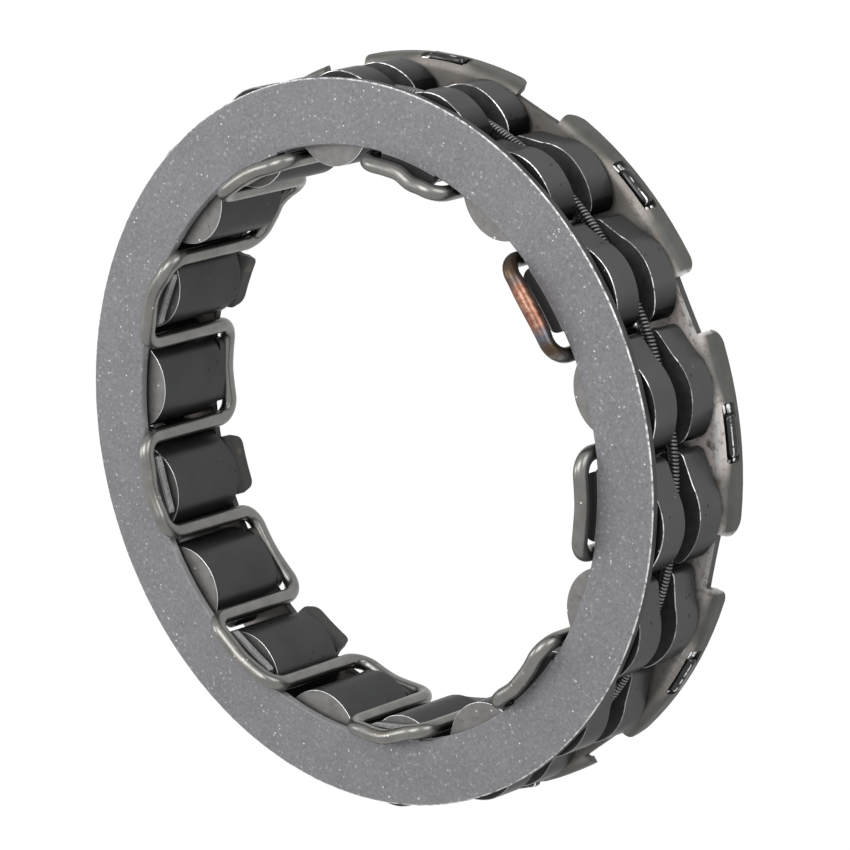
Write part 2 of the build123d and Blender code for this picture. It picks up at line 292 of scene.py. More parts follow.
class Finish:
    """A steel's material in the making, laid on in coats that follow places on its own piece."""

    def __init__(self, name, roughness, metallic=1.0):
        self.material = bpy.data.materials.new(name)
        self.material.use_nodes = True
        self.tree = self.material.node_tree
        self.tree.nodes.clear()
        self.shader = self.put("ShaderNodeBsdfPrincipled", {"Metallic": metallic, "Roughness": roughness})
        self.put("ShaderNodeOutputMaterial", {"Surface": self.shader.outputs[0]})
        self.place = self.put("ShaderNodeTexCoord").outputs["Object"]
        self.base = None

    def put(self, kind, inputs=None, **settings):
        return put(self.tree, kind, inputs, **settings)

    def maths(self, operation, first, second=0.0):
        return maths(self.tree, operation, first, second)

    def times(self, first, *others):
        """The product of shares."""
        for other in others:
            first = self.maths("MULTIPLY", first, other)
        return first

    def ramp(self, value, low, high):
        """Stretch a value so that low becomes nought and high becomes one, held between them."""
        ends = {"Value": value, "From Min": low, "From Max": high}
        return self.put("ShaderNodeMapRange", ends, clamp=True).outputs[0]

    def within(self, value, low, high, blur):
        """One between two values, fading to nought over the blur outside them."""
        return self.times(self.ramp(value, low - blur, low), self.ramp(value, high + blur, high))

    def noise(self, cells_per_mm, detail=3.0, roughness=0.5):
        settings = {
            "Vector": self.place,
            "Scale": cells_per_mm / MM,
            "Detail": detail,
            "Roughness": roughness,
        }
        return self.put("ShaderNodeTexNoise", settings).outputs[0]

    def specks(self, cells_per_mm, size, share):
        """Small dots scattered in a share of the cells of a grid without order."""
        cells = self.put("ShaderNodeTexVoronoi", {"Vector": self.place, "Scale": cells_per_mm / MM})
        dot = self.ramp(cells.outputs["Distance"], size, size * 0.5)
        luck = self.put("ShaderNodeSeparateColor", {0: cells.outputs["Color"]}).outputs[0]
        return self.times(dot, self.maths("LESS_THAN", luck, share))

    def parts(self, vector):
        """The three parts of a vector."""
        return self.put("ShaderNodeSeparateXYZ", {0: vector}).outputs

    def radius(self):
        """Distance from the clutch axis, in millimetres."""
        across, up, _ = self.parts(self.place)
        square = self.maths("ADD", self.maths("POWER", across, 2.0), self.maths("POWER", up, 2.0))
        return self.maths("DIVIDE", self.maths("SQRT", square), MM)

    def height(self):
        """Height above the rear rim's edges, in millimetres."""
        return self.maths("DIVIDE", self.parts(self.place)[2], MM)

    def angle(self):
        across, up, _ = self.parts(self.place)
        return self.maths("ARCTAN2", up, across)

    def share_of_pitch(self, angle):
        """How far an angle is from the last tab's middle to the next one's, from nought to one."""
        turn = self.maths("DIVIDE", angle, TAB_PITCH)
        return self.maths("FRACT", self.maths("ADD", turn, TABS))

    def off(self, value, middle):
        """How far a value is from a middle one, to either side."""
        return self.maths("ABSOLUTE", self.maths("SUBTRACT", value, middle))

    def normal(self):
        """The three parts of the surface's normal."""
        return self.parts(self.put("ShaderNodeNewGeometry").outputs["Normal"])

    def mix(self, share, first, second):
        colours = {0: share, 6: first, 7: second}
        return self.put("ShaderNodeMix", colours, data_type="RGBA").outputs[2]

    def mottled(self, pattern, first, second, low=0.3, high=0.7):
        """One colour running into another by a pattern."""
        return self.mix(self.ramp(pattern, low, high), first, second)

    def coat(self, share, over, strength=1.0):
        """Lay a colour over what is there by a share, at a strength."""
        if strength != 1.0:
            share = self.times(share, strength)
        self.base = self.mix(share, self.base, over)

    def link(self, source, name):
        self.tree.links.new(source, self.shader.inputs[name])

    def bump(self, height, depth, strength):
        """Raise the surface by a pattern, to a depth in millimetres."""
        settings = {"Height": height, "Distance": depth * MM, "Strength": strength}
        self.link(self.put("ShaderNodeBump", settings).outputs[0], "Normal")

    def dried(self):
        """The finished material."""
        self.link(self.base, "Base Color")
        return self.material


def blasted_ring_steel():
    """Bead-blasted grey steel with painted glints, painted highlights along its rim, bore and tab ends,
    painted shade on its tabs' faces under the wire, and its sheared walls dark.
    """
    ring = Finish("blasted_ring_steel", 0.6, 0.6)
    grain = ring.noise(5.0, 3.0, 0.7)
    ring.base = ring.mottled(ring.noise(0.35, 4.0), BLASTED_DARK, BLASTED_LIGHT)
    ring.coat(ring.ramp(grain, 0.5, 0.3), BLASTED_SHADE)
    ring.coat(ring.ramp(ring.noise(2.6, 5.0, 0.7), 0.5, 0.8), BLASTED_MOTTLE)
    uneven = ring.ramp(ring.noise(1.3, 1.0), 0.42, 0.62)
    ring.coat(ring.times(ring.specks(2.2, 0.34, 0.5), uneven), grey(0.55), 0.5)
    # Painted glints: near-white specks where the blasted surface would catch the light
    ring.coat(ring.times(ring.specks(1.5, 0.13, 0.5), ring.ramp(uneven, 0.1, 0.5)), grey(0.95))
    ring.coat(ring.specks(0.9, 0.12, 0.4), grey(0.1), 0.5)
    radius = ring.radius()
    height = ring.height()
    # Painted highlight: a ragged near-white line along the front edge of the outer rim
    rim = ring.times(ring.ramp(radius, *RING_RIM_HIGHLIGHT_FROM), ring.ramp(height, *RING_EDGE_ABOVE))
    ragged = ring.ramp(ring.noise(1.6, 4.0, 0.7), 0.38, 0.55)
    ring.coat(ring.times(rim, ragged), grey(0.85))
    outer_wall = ring.times(ring.ramp(radius, *RING_WALL_FROM), ring.ramp(height, *RING_EDGE_BELOW))
    ring.coat(outer_wall, grey(0.06))
    # Painted highlight: a lighter band round the bore's eased edge
    ring.coat(ring.within(radius, *RING_BORE_HIGHLIGHT, RING_BORE_HIGHLIGHT_BLUR), grey(0.5), 0.5)
    # Painted highlight: the tabs' end faces lightened, as where they catch the light
    tab_end_highlight = ring.times(ring.ramp(radius, *TAB_END_WITHIN), ring.ramp(grain, 0.3, 0.6))
    ring.coat(tab_end_highlight, grey(0.42))
    # Painted shade: the tabs' faces darkened where they lie under the wire
    ring.coat(ring.within(radius, *SHADED_TAB_FACES, TAB_FACE_BLUR), grey(0.035))
    ring.bump(grain, 0.02, 0.5)
    return ring.dried()


def pressed_plate_steel():
    """Warm mottled sheet steel, painted lighter on the lit side with a painted highlight along its bend,
    olive down the bent rim darkened as painted shade, painted shade round the bore.
    """
    plate = Finish("pressed_plate_steel", 0.55)
    cloud = plate.noise(0.35, 5.0, 0.6)
    mottle = plate.noise(1.6, 4.0, 0.6)
    grain = plate.noise(5.0, 3.0, 0.7)
    angle = plate.angle()
    height = plate.height()
    radius = plate.radius()
    # Painted light: the flange is lighter and less metallic on the side towards the light
    painted_lit_side = plate.ramp(plate.off(angle, LIT_SIDE_MIDDLE), *LIT_SIDE_WITHIN)
    plate.link(plate.maths("SUBTRACT", 0.6, plate.times(painted_lit_side, 0.5)), "Metallic")

    plate.base = plate.mottled(cloud, PLATE_WARM, PLATE_LIGHT, 0.35, 0.65)
    plate.coat(painted_lit_side, plate.mottled(cloud, PLATE_ROSE, PLATE_PALE, 0.3, 0.6))
    plate.coat(plate.ramp(mottle, 0.5, 0.75), PLATE_BROWN)
    plate.coat(plate.ramp(grain, 0.5, 0.75), PLATE_PALE, 0.35)
    # Painted shade: the side away from the light is greyed above the bend
    painted_unlit_side = plate.maths("SUBTRACT", 0.8, plate.times(painted_lit_side, 0.8))
    plate.coat(plate.times(plate.ramp(height, *GREY_ABOVE), painted_unlit_side), grey(0.19, 0.07))

    off_gap = plate.off(plate.share_of_pitch(angle), 0.5)
    olive = plate.mottled(cloud, OLIVE_DARK, OLIVE_LIGHT, 0.35, 0.65)
    # Darker olive beside the sprags' heads, away from the window's middle
    beside_heads = plate.times(
        plate.ramp(off_gap, *HEADS_FROM),
        plate.ramp(off_gap, *HEADS_UNTIL),
        plate.ramp(radius, *HEADS_DARKER_BEYOND),
    )
    plate.coat(beside_heads, olive, 0.7)
    # Olive on the bend and bent rim, its darkness painted shade where the surface turns outwards
    by_window = plate.times(plate.ramp(off_gap, *WINDOW_FROM), OLIVE_LOWER_AT_WINDOW)
    plate.coat(plate.ramp(plate.maths("ADD", height, by_window), *OLIVE_BELOW), olive)

    # Painted highlight: near-white along the start of the bend and the flange's edge in the gaps, on the
    # lit side
    on_bend = plate.times(
        plate.ramp(height, *BEND_HIGHLIGHT_ABOVE),
        plate.ramp(radius, *BEND_HIGHLIGHT_BEYOND),
        plate.ramp(off_gap, *BEND_HIGHLIGHT_BY_WINDOW),
    )
    by_gap = plate.times(plate.ramp(radius, *GAP_HIGHLIGHT_BEYOND), plate.ramp(off_gap, *GAP_WITHIN))
    painted_bend_highlight = plate.maths("MAXIMUM", on_bend, by_gap)
    plate.coat(plate.times(painted_bend_highlight, plate.ramp(mottle, 0.66, 0.5), painted_lit_side), grey(0.95, 0.02))

    # Painted shade: near-black round the bore, under the sprags and the wire
    shaded_bore = plate.ramp(radius, *SHADED_BORE_WITHIN)
    plate.coat(shaded_bore, plate.mix(cloud, grey(0.04, 0.02), grey(0.07, 0.02)))
    edge_on = plate.ramp(plate.maths("ABSOLUTE", plate.normal()[2]), 0.5, 0.2)
    plate.coat(plate.times(edge_on, plate.ramp(radius, *CUT_EDGE_WITHIN)), grey(0.06, 0.03))
    stains = plate.specks(0.5, 0.3, 0.3)
    plate.coat(plate.times(stains, plate.ramp(mottle, 0.35, 0.6)), grey(0.12, 0.2))
    plate.coat(plate.specks(1.3, 0.2, 0.3), grey(0.08, 0.1), 0.6)
    plate.bump(grain, 0.015, 0.35)
    return plate.dried()


def heat_tint(wire, past_weld, off_weld, cloud, rough):
    """The colours on both sides of the weld: brown over it, then blue, then tempered brown."""
    brown = wire.mottled(rough, HEAT_BROWN_DARK, HEAT_BROWN_LIGHT)
    blue = wire.mix(cloud, HEAT_BLUE_DARK, HEAT_BLUE_LIGHT)
    tint = wire.mix(wire.ramp(off_weld, *HEAT_BLUE_FROM), brown, blue)
    tint = wire.mix(wire.ramp(past_weld, *HEAT_TEMPERED_PAST), tint, HEAT_TEMPERED)
    return wire.mix(wire.ramp(past_weld, *HEAT_TEMPERED_BEFORE), tint, HEAT_TEMPERED)


def drawn_wire_steel():
    """Warm grey satin wire: tool marks at mid loop with painted glints, brown and blue heat tint on the
    welded loop, painted shade on its outer side between the plates.
    """
    wire = Finish("drawn_wire_steel", 0.3)
    cloud = wire.noise(0.6, 4.0)
    rough = wire.noise(2.2, 3.0)
    angle = wire.angle()
    height = wire.height()
    wire.base = wire.mottled(cloud, WIRE_DARK, WIRE_LIGHT)
    wire.coat(wire.specks(0.8, 0.18, 0.2), grey(0.09, 0.05), 0.5)

    off_middle = wire.off(wire.share_of_pitch(angle), LOOP_MIDDLE)
    mark = wire.times(wire.ramp(off_middle, *TOOL_MARK_WITHIN), wire.ramp(height, *FRONT_LOOP_FROM))
    scar = wire.times(mark, wire.ramp(rough, 0.5, 0.65))
    wire.coat(scar, WIRE_SCAR, 0.3)
    # Painted glints: bright specks on the tool marks
    wire.coat(wire.times(wire.specks(2.6, 0.3, 0.45), scar), grey(0.85))

    waver = wire.times(wire.maths("SUBTRACT", rough, 0.5), HEAT_WAVER)
    past_weld = wire.maths("ADD", wire.maths("SUBTRACT", angle, WELDED_LOOP), waver)
    off_weld = wire.maths("ABSOLUTE", past_weld)
    heated = wire.times(wire.ramp(off_weld, *HEATED_WITHIN), wire.ramp(height, *HEATED_ABOVE))
    wire.coat(heated, heat_tint(wire, past_weld, off_weld, cloud, rough))
    crack = wire.maths("FRACT", wire.maths("ADD", wire.times(past_weld, CRACKS_PER_RADIAN), TABS))
    cracks = wire.times(heated, wire.ramp(crack, 0.09, 0.04), wire.ramp(cloud, 0.45, 0.55))
    wire.coat(cracks, grey(0.03, 0.2), 0.6)

    # Painted shade: the wire's outer side between the plates painted near-black
    back = wire.times(
        wire.ramp(wire.radius(), *WIRE_SHADED_BACK_BEYOND),
        wire.ramp(height, *WIRE_SHADED_BACK_ABOVE),
        wire.ramp(height, *WIRE_SHADED_BACK_BELOW),
    )
    wire.coat(back, grey(0.02))
    wire.bump(wire.maths("ADD", wire.noise(2.5, 3.0), scar), 0.015, 0.4)
    return wire.dried()


def dark_coil_steel():
    """The garter spring's dark, faintly uneven wire."""
    coil = Finish("dark_coil_steel", 0.35, 0.85)
    coil.base = coil.mottled(coil.noise(0.8, 3.0), grey(0.12), grey(0.2))
    return coil.dried()


def polished_sprag_steel():
    """Hard dark steel, smooth on the cams, with a few small pits, painted lighter on the outer cams as
    lit, painted black as shade under the toes.
    """
    cam = Finish("polished_sprag_steel", 0.3, 0.6)
    cloud = cam.noise(0.3, 3.0)
    radius = cam.radius()
    outer_cam = cam.ramp(radius, *OUTER_CAM_BEYOND)
    cam.base = cam.mottled(cloud, grey(0.054, -0.02), grey(0.066, -0.015))
    # Painted light: the outer cams lighter, as where light falls on them
    cam.coat(outer_cam, cam.mix(cloud, grey(0.075, -0.01), grey(0.105, -0.01)))
    cam.coat(cam.specks(1.1, 0.2, 0.22), grey(0.02), 0.7)
    cam.coat(cam.specks(0.8, 0.09, 0.1), grey(0.3), 0.6)
    across, up, _ = cam.parts(cam.place)
    normal = cam.normal()
    turning = cam.maths("SUBTRACT", cam.times(up, normal[0]), cam.times(across, normal[1]))
    toeward = cam.maths("DIVIDE", cam.maths("DIVIDE", turning, MM), radius)
    # Painted shade: faces of the outer cams turned towards the toe side painted black, their reflections
    # dimmed
    painted_shade_under_toe = cam.times(cam.ramp(toeward, *SHADED_TOE_FROM), outer_cam)
    cam.coat(painted_shade_under_toe, grey(0.008))
    cam.link(cam.mix(painted_shade_under_toe, grey(0.3), grey(0.03)), "Specular Tint")
    cam.bump(cam.noise(1.5, 3.0), 0.008, 0.3)
    return cam.dried()


def matt_sprag_end_steel():
    """The cut ends of the sprags, brownish and dull, painted darker as shade out under the ring, with
    bright specks.
    """
    end = Finish("matt_sprag_end_steel", 0.5, 0.85)
    end.base = end.mottled(end.noise(1.2, 4.0), grey(0.16, 0.03), grey(0.215, 0.03))
    end.coat(end.specks(1.2, 0.2, 0.3), grey(0.07), 0.5)
    # Painted shade: the end faces darkened out under the front ring
    end.coat(end.ramp(end.radius(), *END_SHADED_BEYOND), grey(0.035))
    # Bright specks scattered over the end faces
    end.coat(end.specks(1.1, 0.12, 0.5), grey(0.8))
    end.bump(end.noise(6.0, 2.0), 0.01, 0.4)
    return end.dried()


def painted_highlight_edge_steel():
    """The chamfers round the sprags: painted highlights in stretches where they face forwards, most on the
    upper side and round the bore.
    """
    edge = Finish("painted_highlight_edge_steel", 0.28)
    upper_side = edge.ramp(edge.angle(), *HIGHLIGHT_ABOVE_ANGLE)
    stretches = edge.ramp(edge.noise(0.3, 5.0, 0.65), 0.43, 0.57)
    stretches = edge.times(stretches, edge.maths("MAXIMUM", upper_side, 0.3))
    highlight_breaks = edge.ramp(edge.noise(1.6, 4.0, 0.7), 0.3, 0.5)
    highlit = edge.times(edge.maths("MAXIMUM", stretches, 0.12), highlight_breaks)
    bore_side = edge.ramp(edge.radius(), *BORE_SIDE_WITHIN)
    highlit = edge.maths("MAXIMUM", highlit, edge.times(bore_side, 0.8))
    forward = edge.ramp(edge.normal()[2], 0.1, 0.3)
    # Painted highlight: near-white where the chamfers face forwards
    edge.base = edge.mix(edge.times(highlit, forward), grey(0.08), grey(0.95))
    return edge.dried()


def dull_slot_steel():
    """The sawn walls and floor of the sprags' slots."""
    slot = Finish("dull_slot_steel", 0.6, 0.3)
    cloud = slot.noise(1.2, 4.0)
    slot.base = slot.mottled(cloud, grey(0.035), grey(0.065))
    slot.bump(cloud, 0.01, 0.4)
    return slot.dried()


def glossy_clip_steel():
    """Glossy black shoes with one broken painted highlight along the crown."""
    shoe = Finish("glossy_clip_steel", 0.25)
    shoe.base = shoe.mottled(shoe.noise(1.0, 2.0), grey(0.035), grey(0.055))
    off_line = shoe.off(shoe.height(), SHOE_HIGHLIGHT_HEIGHT)
    waver = shoe.maths("ADD", off_line, shoe.times(shoe.noise(0.8, 2.0), 0.1))
    # Painted highlight: a broken light line along the crown
    line = shoe.times(
        shoe.ramp(waver, *SHOE_HIGHLIGHT_WITHIN),
        shoe.ramp(shoe.noise(1.6, 3.0), 0.48, 0.6),
        shoe.ramp(shoe.radius(), *SHOE_CROWN_FROM),
    )
    shoe.coat(line, grey(0.8))
    return shoe.dried()


def bright_clip_steel():
    """The spring shoes' curled tips, mottled from dark to near white, the near white a painted highlight.
    """
    tip = Finish("bright_clip_steel", 0.2)
    tip.base = tip.mottled(tip.noise(1.5, 3.0), grey(0.12), grey(0.85), 0.35, 0.6)
    return tip.dried()


def whole_copy(node, materials):
    """A merged copy of a carried-over node's mesh, open for editing, with its materials."""
    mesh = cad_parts[node].data.copy()
    mesh.materials.clear()
    for material in materials:
        mesh.materials.append(material)
    form = bmesh.new()
    form.from_mesh(mesh)
    bmesh.ops.remove_doubles(form, verts=form.verts, dist=MERGE_DISTANCE)
    bmesh.ops.dissolve_limit(form, angle_limit=FLAT_WITHIN, verts=form.verts, edges=form.edges)
    for face in form.faces:
        face.material_index = 0
        face.smooth = True
    return mesh, form


def shown(name, mesh):
    """A mesh as an object of the scene."""
    piece = bpy.data.objects.new(name, mesh)
    bpy.context.scene.collection.objects.link(piece)
    return piece


def close_copy(node, mesh, form):
    """An edited copy of a node's mesh as an object."""
    form.to_mesh(mesh)
    form.free()
    return shown(node + "_eased", mesh)


def ease_edges(piece, width, limit="ANGLE", edge_material=-1):
    """Round an object's sharp edges, or those that carry a weight."""
    bevel = piece.modifiers.new("eased edges", "BEVEL")
    bevel.width = width
    bevel.segments = EASING_STEPS
    bevel.limit_method = limit
    bevel.angle_limit = SHARP_BEYOND
    bevel.material = edge_material


def take_place(piece, node, body):
    """Put a copy in its node's place on its body, with its flat faces shaded flat."""
    piece.modifiers.new("flat faces", "WEIGHTED_NORMAL").keep_sharp = True
    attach(piece, body)
    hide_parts(node)


def blanked_ring(material):
    """The front ring with its tabs' ends drawn a little further into the bore."""
    mesh, form = whole_copy("front_ring", [material])
    for vertex in form.verts:
        radius = vertex.co.xy.length
        if radius < TAB_ROOT:
            share = min((TAB_ROOT - radius) / TAB_DRAWN_OVER, 1.0)
            vertex.co.xy *= (radius - TAB_DRAW * share) / radius
    piece = close_copy("front_ring", mesh, form)
    ease_edges(piece, RING_EASING)
    take_place(piece, "front_ring", "cage")


def finish_rear_plate(material):
    """The rear plate keeps its carried-over mesh and only gets its finish."""
    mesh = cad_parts["rear_plate"].data
    mesh.materials.clear()
    mesh.materials.append(material)


def geometry_tree(name, inputs):
    """A new geometry node tree with a named number input for each size, and its start."""
    tree = bpy.data.node_groups.new(name, "GeometryNodeTree")
    tree.interface.new_socket("Geometry", in_out="INPUT", socket_type="NodeSocketGeometry")
    for label, value in inputs.items():
        kind = "NodeSocketInt" if isinstance(value, int) else "NodeSocketFloat"
        socket = tree.interface.new_socket(label, in_out="INPUT", socket_type=kind)
        socket.default_value = value
    tree.interface.new_socket("Geometry", in_out="OUTPUT", socket_type="NodeSocketGeometry")
    return tree, tree.nodes.new("NodeGroupInput").outputs


def swept(tree, path, radius, sides, scale=1.0):
    """A round section carried along a path."""
    circle = {"Radius": radius, "Resolution": sides}
    section = put(tree, "GeometryNodeCurvePrimitiveCircle", circle).outputs[0]
    sweep = {"Curve": path, "Profile Curve": section, "Scale": scale}
    return put(tree, "GeometryNodeCurveToMesh", sweep).outputs[0]


def close_tree(tree, geometry, material):
    """End a geometry tree: make instances real, name the material and hand the mesh out."""
    real = put(tree, "GeometryNodeRealizeInstances", {"Geometry": geometry}).outputs[0]
    smooth = put(tree, "GeometryNodeSetShadeSmooth", {"Geometry": real}).outputs[0]
    coated = put(tree, "GeometryNodeSetMaterial", {"Geometry": smooth, "Material": material}).outputs[0]
    put(tree, "NodeGroupOutput", {0: coated})


def made_by(tree, name, material, source=None):
    """Run a geometry tree on a mesh and return the result as a plain object."""
    base = shown(name + "_base", source or bpy.data.meshes.new(name + "_base"))
    base.modifiers.new("tree", "NODES").node_group = tree
    shape = base.evaluated_get(bpy.context.evaluated_depsgraph_get())
    mesh = bpy.data.meshes.new_from_object(shape)
    bpy.data.objects.remove(base)
    mesh.materials.clear()
    mesh.materials.append(material)
    return shown(name, mesh)


def eased_between(values, share):
    """A smooth value between evenly spaced ones, at a share of the whole way."""
    last = len(values) - 1
    place = share * last
    low = min(int(place), last - 1)
    part = place - low
    before, start, end, after = (values[min(max(low + step, 0), last)] for step in (-1, 0, 1, 2))
    bend = 2 * before - 5 * start + 4 * end - after
    twist = 3 * start - before - 3 * end + after
    return (2 * start + (end - before) * part + bend * part**2 + twist * part**3) / 2


def on_cylinder(radius, angle, height):
    return Vector((radius * cos(angle), radius * sin(angle), height))


def bend_points(angle, side, height, towards_middle, stand):
    """The quarter round at one end of a loop, from the bar to the run, on one side of an angle."""
    outward = on_cylinder(1, angle, 0)
    along = on_cylinder(side, angle + radians(90), 0)
    points = []
    for step in range(BEND_STEPS):
        turn = radians(90) * step / BEND_STEPS
        radius = LOOP_CIRCLE + stand * MM * sin(turn)
        rise = height + towards_middle * WIRE_BEND * (1 - sin(turn))
        points.append(outward * radius + along * WIRE_BEND * cos(turn) + Vector((0, 0, rise)))
    return points


def loop_points(first, height, towards_middle, shape):
    """Centre line of one loop of the wire, from the end of one bar to the start of the next."""
    lift, stands = shape
    height += lift * MM
    lead = atan2(WIRE_BEND, LOOP_CIRCLE)
    welded = height > RING_FRONT and abs(first + SPRAG_PITCH / 2 - WELDED_LOOP) < radians(1)
    shift = WELD_SHIFT if welded else 0.0
    start = first + lead - shift / LOOP_CIRCLE
    end = first + SPRAG_PITCH - lead
    points = bend_points(start, -1, height, towards_middle, stands[0])
    for step in range(RUN_STEPS + 1):
        share = step / RUN_STEPS
        stand = eased_between(stands, share) * MM
        points.append(on_cylinder(LOOP_CIRCLE + stand, start + (end - start) * share, height))
    points += reversed(bend_points(end, 1, height, towards_middle, stands[-1]))
    return points


def wire_centre_line():
    """The spacer wire's closed centre line, no two of its loops quite alike."""
    points = []
    for number in range(TABS):
        start = number * TAB_PITCH
        points += loop_points(start, REAR_LOOP_HEIGHT, 1, REAR_LOOPS[number])
        points += loop_points(start + SPRAG_PITCH, FRONT_LOOP_HEIGHT, -1, FRONT_LOOPS[number])
    line = bpy.data.meshes.new("wire_centre_line")
    count = len(points)
    line.from_pydata(points, [(index, (index + 1) % count) for index in range(count)], [])
    thickness = line.attributes.new("thickness", "FLOAT", "POINT")
    for index, point in enumerate(points):
        off_weld = abs(atan2(point.y, point.x) - WELDED_LOOP) / WELD_REACH
        swelling = max(0.0, 1 - off_weld**2) if point.z > RING_FRONT else 0.0
        thickness.data[index].value = 1 + WELD_SWELLING * swelling
    return line


def bent_wire(material):
    """The spacer wire: a round section along its centre line, thicker at the weld."""
    tree, size = geometry_tree("round_wire", {"Wire radius": WIRE_RADIUS, "Sides": WIRE_SIDES})
    path = put(tree, "GeometryNodeMeshToCurve", {0: size["Geometry"]}).outputs[0]
    named = put(tree, "GeometryNodeInputNamedAttribute", {"Name": "thickness"}, data_type="FLOAT")
    wire = swept(tree, path, size["Wire radius"], size["Sides"], named.outputs[0])
    close_tree(tree, wire, material)
    piece = made_by(tree, "bent_spacer_wire", material, wire_centre_line())
    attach(piece, "cage")
    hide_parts("spacer_wire")


def coiled_spring(material):
    """The garter spring as a close coil bent into a ring."""
    sizes = {
        "Ring radius": SPRING_CIRCLE,
        "Coil radius": COIL_RADIUS,
        "Wire radius": COIL_WIRE_RADIUS,
        "Height": SPRING_HEIGHT,
        "Turns": COIL_TURNS,
        "Points per turn": COIL_STEPS,
        "Sides": COIL_WIRE_SIDES,
    }
    tree, size = geometry_tree("garter_coil", sizes)
    count = maths(tree, "MULTIPLY", size["Turns"], size["Points per turn"])
    index = put(tree, "GeometryNodeInputIndex").outputs[0]
    round_ring = maths(tree, "MULTIPLY", maths(tree, "DIVIDE", index, count), tau)
    round_coil = maths(tree, "MULTIPLY", maths(tree, "DIVIDE", index, size["Points per turn"]), tau)
    across = maths(tree, "MULTIPLY", size["Coil radius"], maths(tree, "COSINE", round_coil))
    reach = maths(tree, "ADD", size["Ring radius"], across)
    rise = maths(tree, "MULTIPLY", size["Coil radius"], maths(tree, "SINE", round_coil))
    parts = {
        0: maths(tree, "MULTIPLY", reach, maths(tree, "COSINE", round_ring)),
        1: maths(tree, "MULTIPLY", reach, maths(tree, "SINE", round_ring)),
        2: maths(tree, "ADD", size["Height"], rise),
    }
    place = put(tree, "ShaderNodeCombineXYZ", parts).outputs[0]
    line = put(tree, "GeometryNodeMeshLine", {"Count": count}).outputs[0]
    path = put(tree, "GeometryNodeMeshToCurve", {0: line}).outputs[0]
    bent = put(tree, "GeometryNodeSetPosition", {"Geometry": path, "Position": place}).outputs[0]
    closed = put(tree, "GeometryNodeSetSplineCyclic", {0: bent, "Cyclic": True}).outputs[0]
    close_tree(tree, swept(tree, closed, size["Wire radius"], size["Sides"]), material)
    piece = made_by(tree, "garter_spring_coil", material)
    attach(piece, "cage")
    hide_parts("garter_spring")


def eased_step(share):
    """A share held between nought and one and eased at both ends."""
    share = min(max(share, 0.0), 1.0)
    return share * share * (3 - 2 * share)


def weigh_sprag_edges(form):
    """Mark a sprag's sharp edges for easing, most where they face forwards outside the neck."""
    form.normal_update()
    weight = form.edges.layers.float.new("bevel_weight_edge")
    for edge in form.edges:
        if edge.is_manifold and edge.is_convex and edge.calc_face_angle() > SHARP_BEYOND:
            forward = any(face.normal.z > FLAT_ENOUGH for face in edge.link_faces)
            outside = all(vertex.co.xy.length > TOE_NECK + TOE_NECK_FADES for vertex in edge.verts)
            edge[weight] = 1.0 if forward and outside else REAR_EASING


def eased_sprag(number, materials):
    """A sprag with a full toe, dull cut ends, a dull slot and eased edges."""
    node = f"sprag_{number:02d}"
    mesh, form = whole_copy(node, materials)
    weigh_sprag_edges(form)
    low = min(vertex.co.z for vertex in form.verts) + END_SKIN
    high = max(vertex.co.z for vertex in form.verts) - END_SKIN
    for face in form.faces:
        middle = face.calc_center_median().z
        if middle < low or middle > high:
            face.material_index = END_FINISH
        elif abs(face.normal.z) > FLAT_ENOUGH:
            face.material_index = SLOT_FINISH
    angle = SPRAG_PITCH * (number - 0.5)
    outward = on_cylinder(1, angle, 0)
    heelward = on_cylinder(1, angle + radians(90), 0)
    for vertex in form.verts:
        past_middle = eased_step((-vertex.co.dot(heelward) - TOE_STARTS) / TOE_FADES)
        past_neck = eased_step((vertex.co.dot(outward) - TOE_NECK) / TOE_NECK_FADES)
        share = past_middle * past_neck
        vertex.co -= heelward * TOE_FULLER * share + outward * TOE_LOWER * share
    piece = close_copy(node, mesh, form)
    ease_edges(piece, SPRAG_EASING, "WEIGHT", EDGE_FINISH)
    take_place(piece, node, node)


def rounded_clip(number, material):
    """A spring shoe with its crown and ends rounded, sitting a little towards one end of its window."""
    node = f"drag_clip_{number}"
    mesh, form = whole_copy(node, [material])
    outward = on_cylinder(1, TAB_PITCH * (number - 1), 0)
    along = on_cylinder(1, TAB_PITCH * (number - 1) + radians(90), 0)
    for side in (-1, 1):
        for cut in range(SHOE_END_CUTS):
            place = along * side * (SHOE_HALF - SHOE_END * cut / SHOE_END_CUTS)
            geometry = form.verts[:] + form.edges[:] + form.faces[:]
            bmesh.ops.bisect_plane(form, geom=geometry, plane_co=place, plane_no=along)
    for vertex in form.verts:
        if vertex.co.xy.length > SHOE_ROOT:
            off_centre = abs(vertex.co.dot(along))
            past = min(max((off_centre - SHOE_HALF + SHOE_END) / SHOE_END, 0.0), 1.0) ** 2
            droop = SHOE_END_DROOPS * (off_centre / SHOE_HALF) ** 2
            off_middle = (vertex.co.z - SHOE_MIDDLE_HEIGHT) * (1 - SHOE_END_NARROWS * past)
            vertex.co.z = SHOE_MIDDLE_HEIGHT + off_middle
            vertex.co -= along * SHOE_SHIFT + outward * droop
    take_place(close_copy(node, mesh, form), node, "cage")


def squared(part):
    """Push one coordinate of a ball's point outwards, so that the ball becomes a rounded box."""
    return (abs(part) ** 0.5) * (1 if part > 0 else -1)


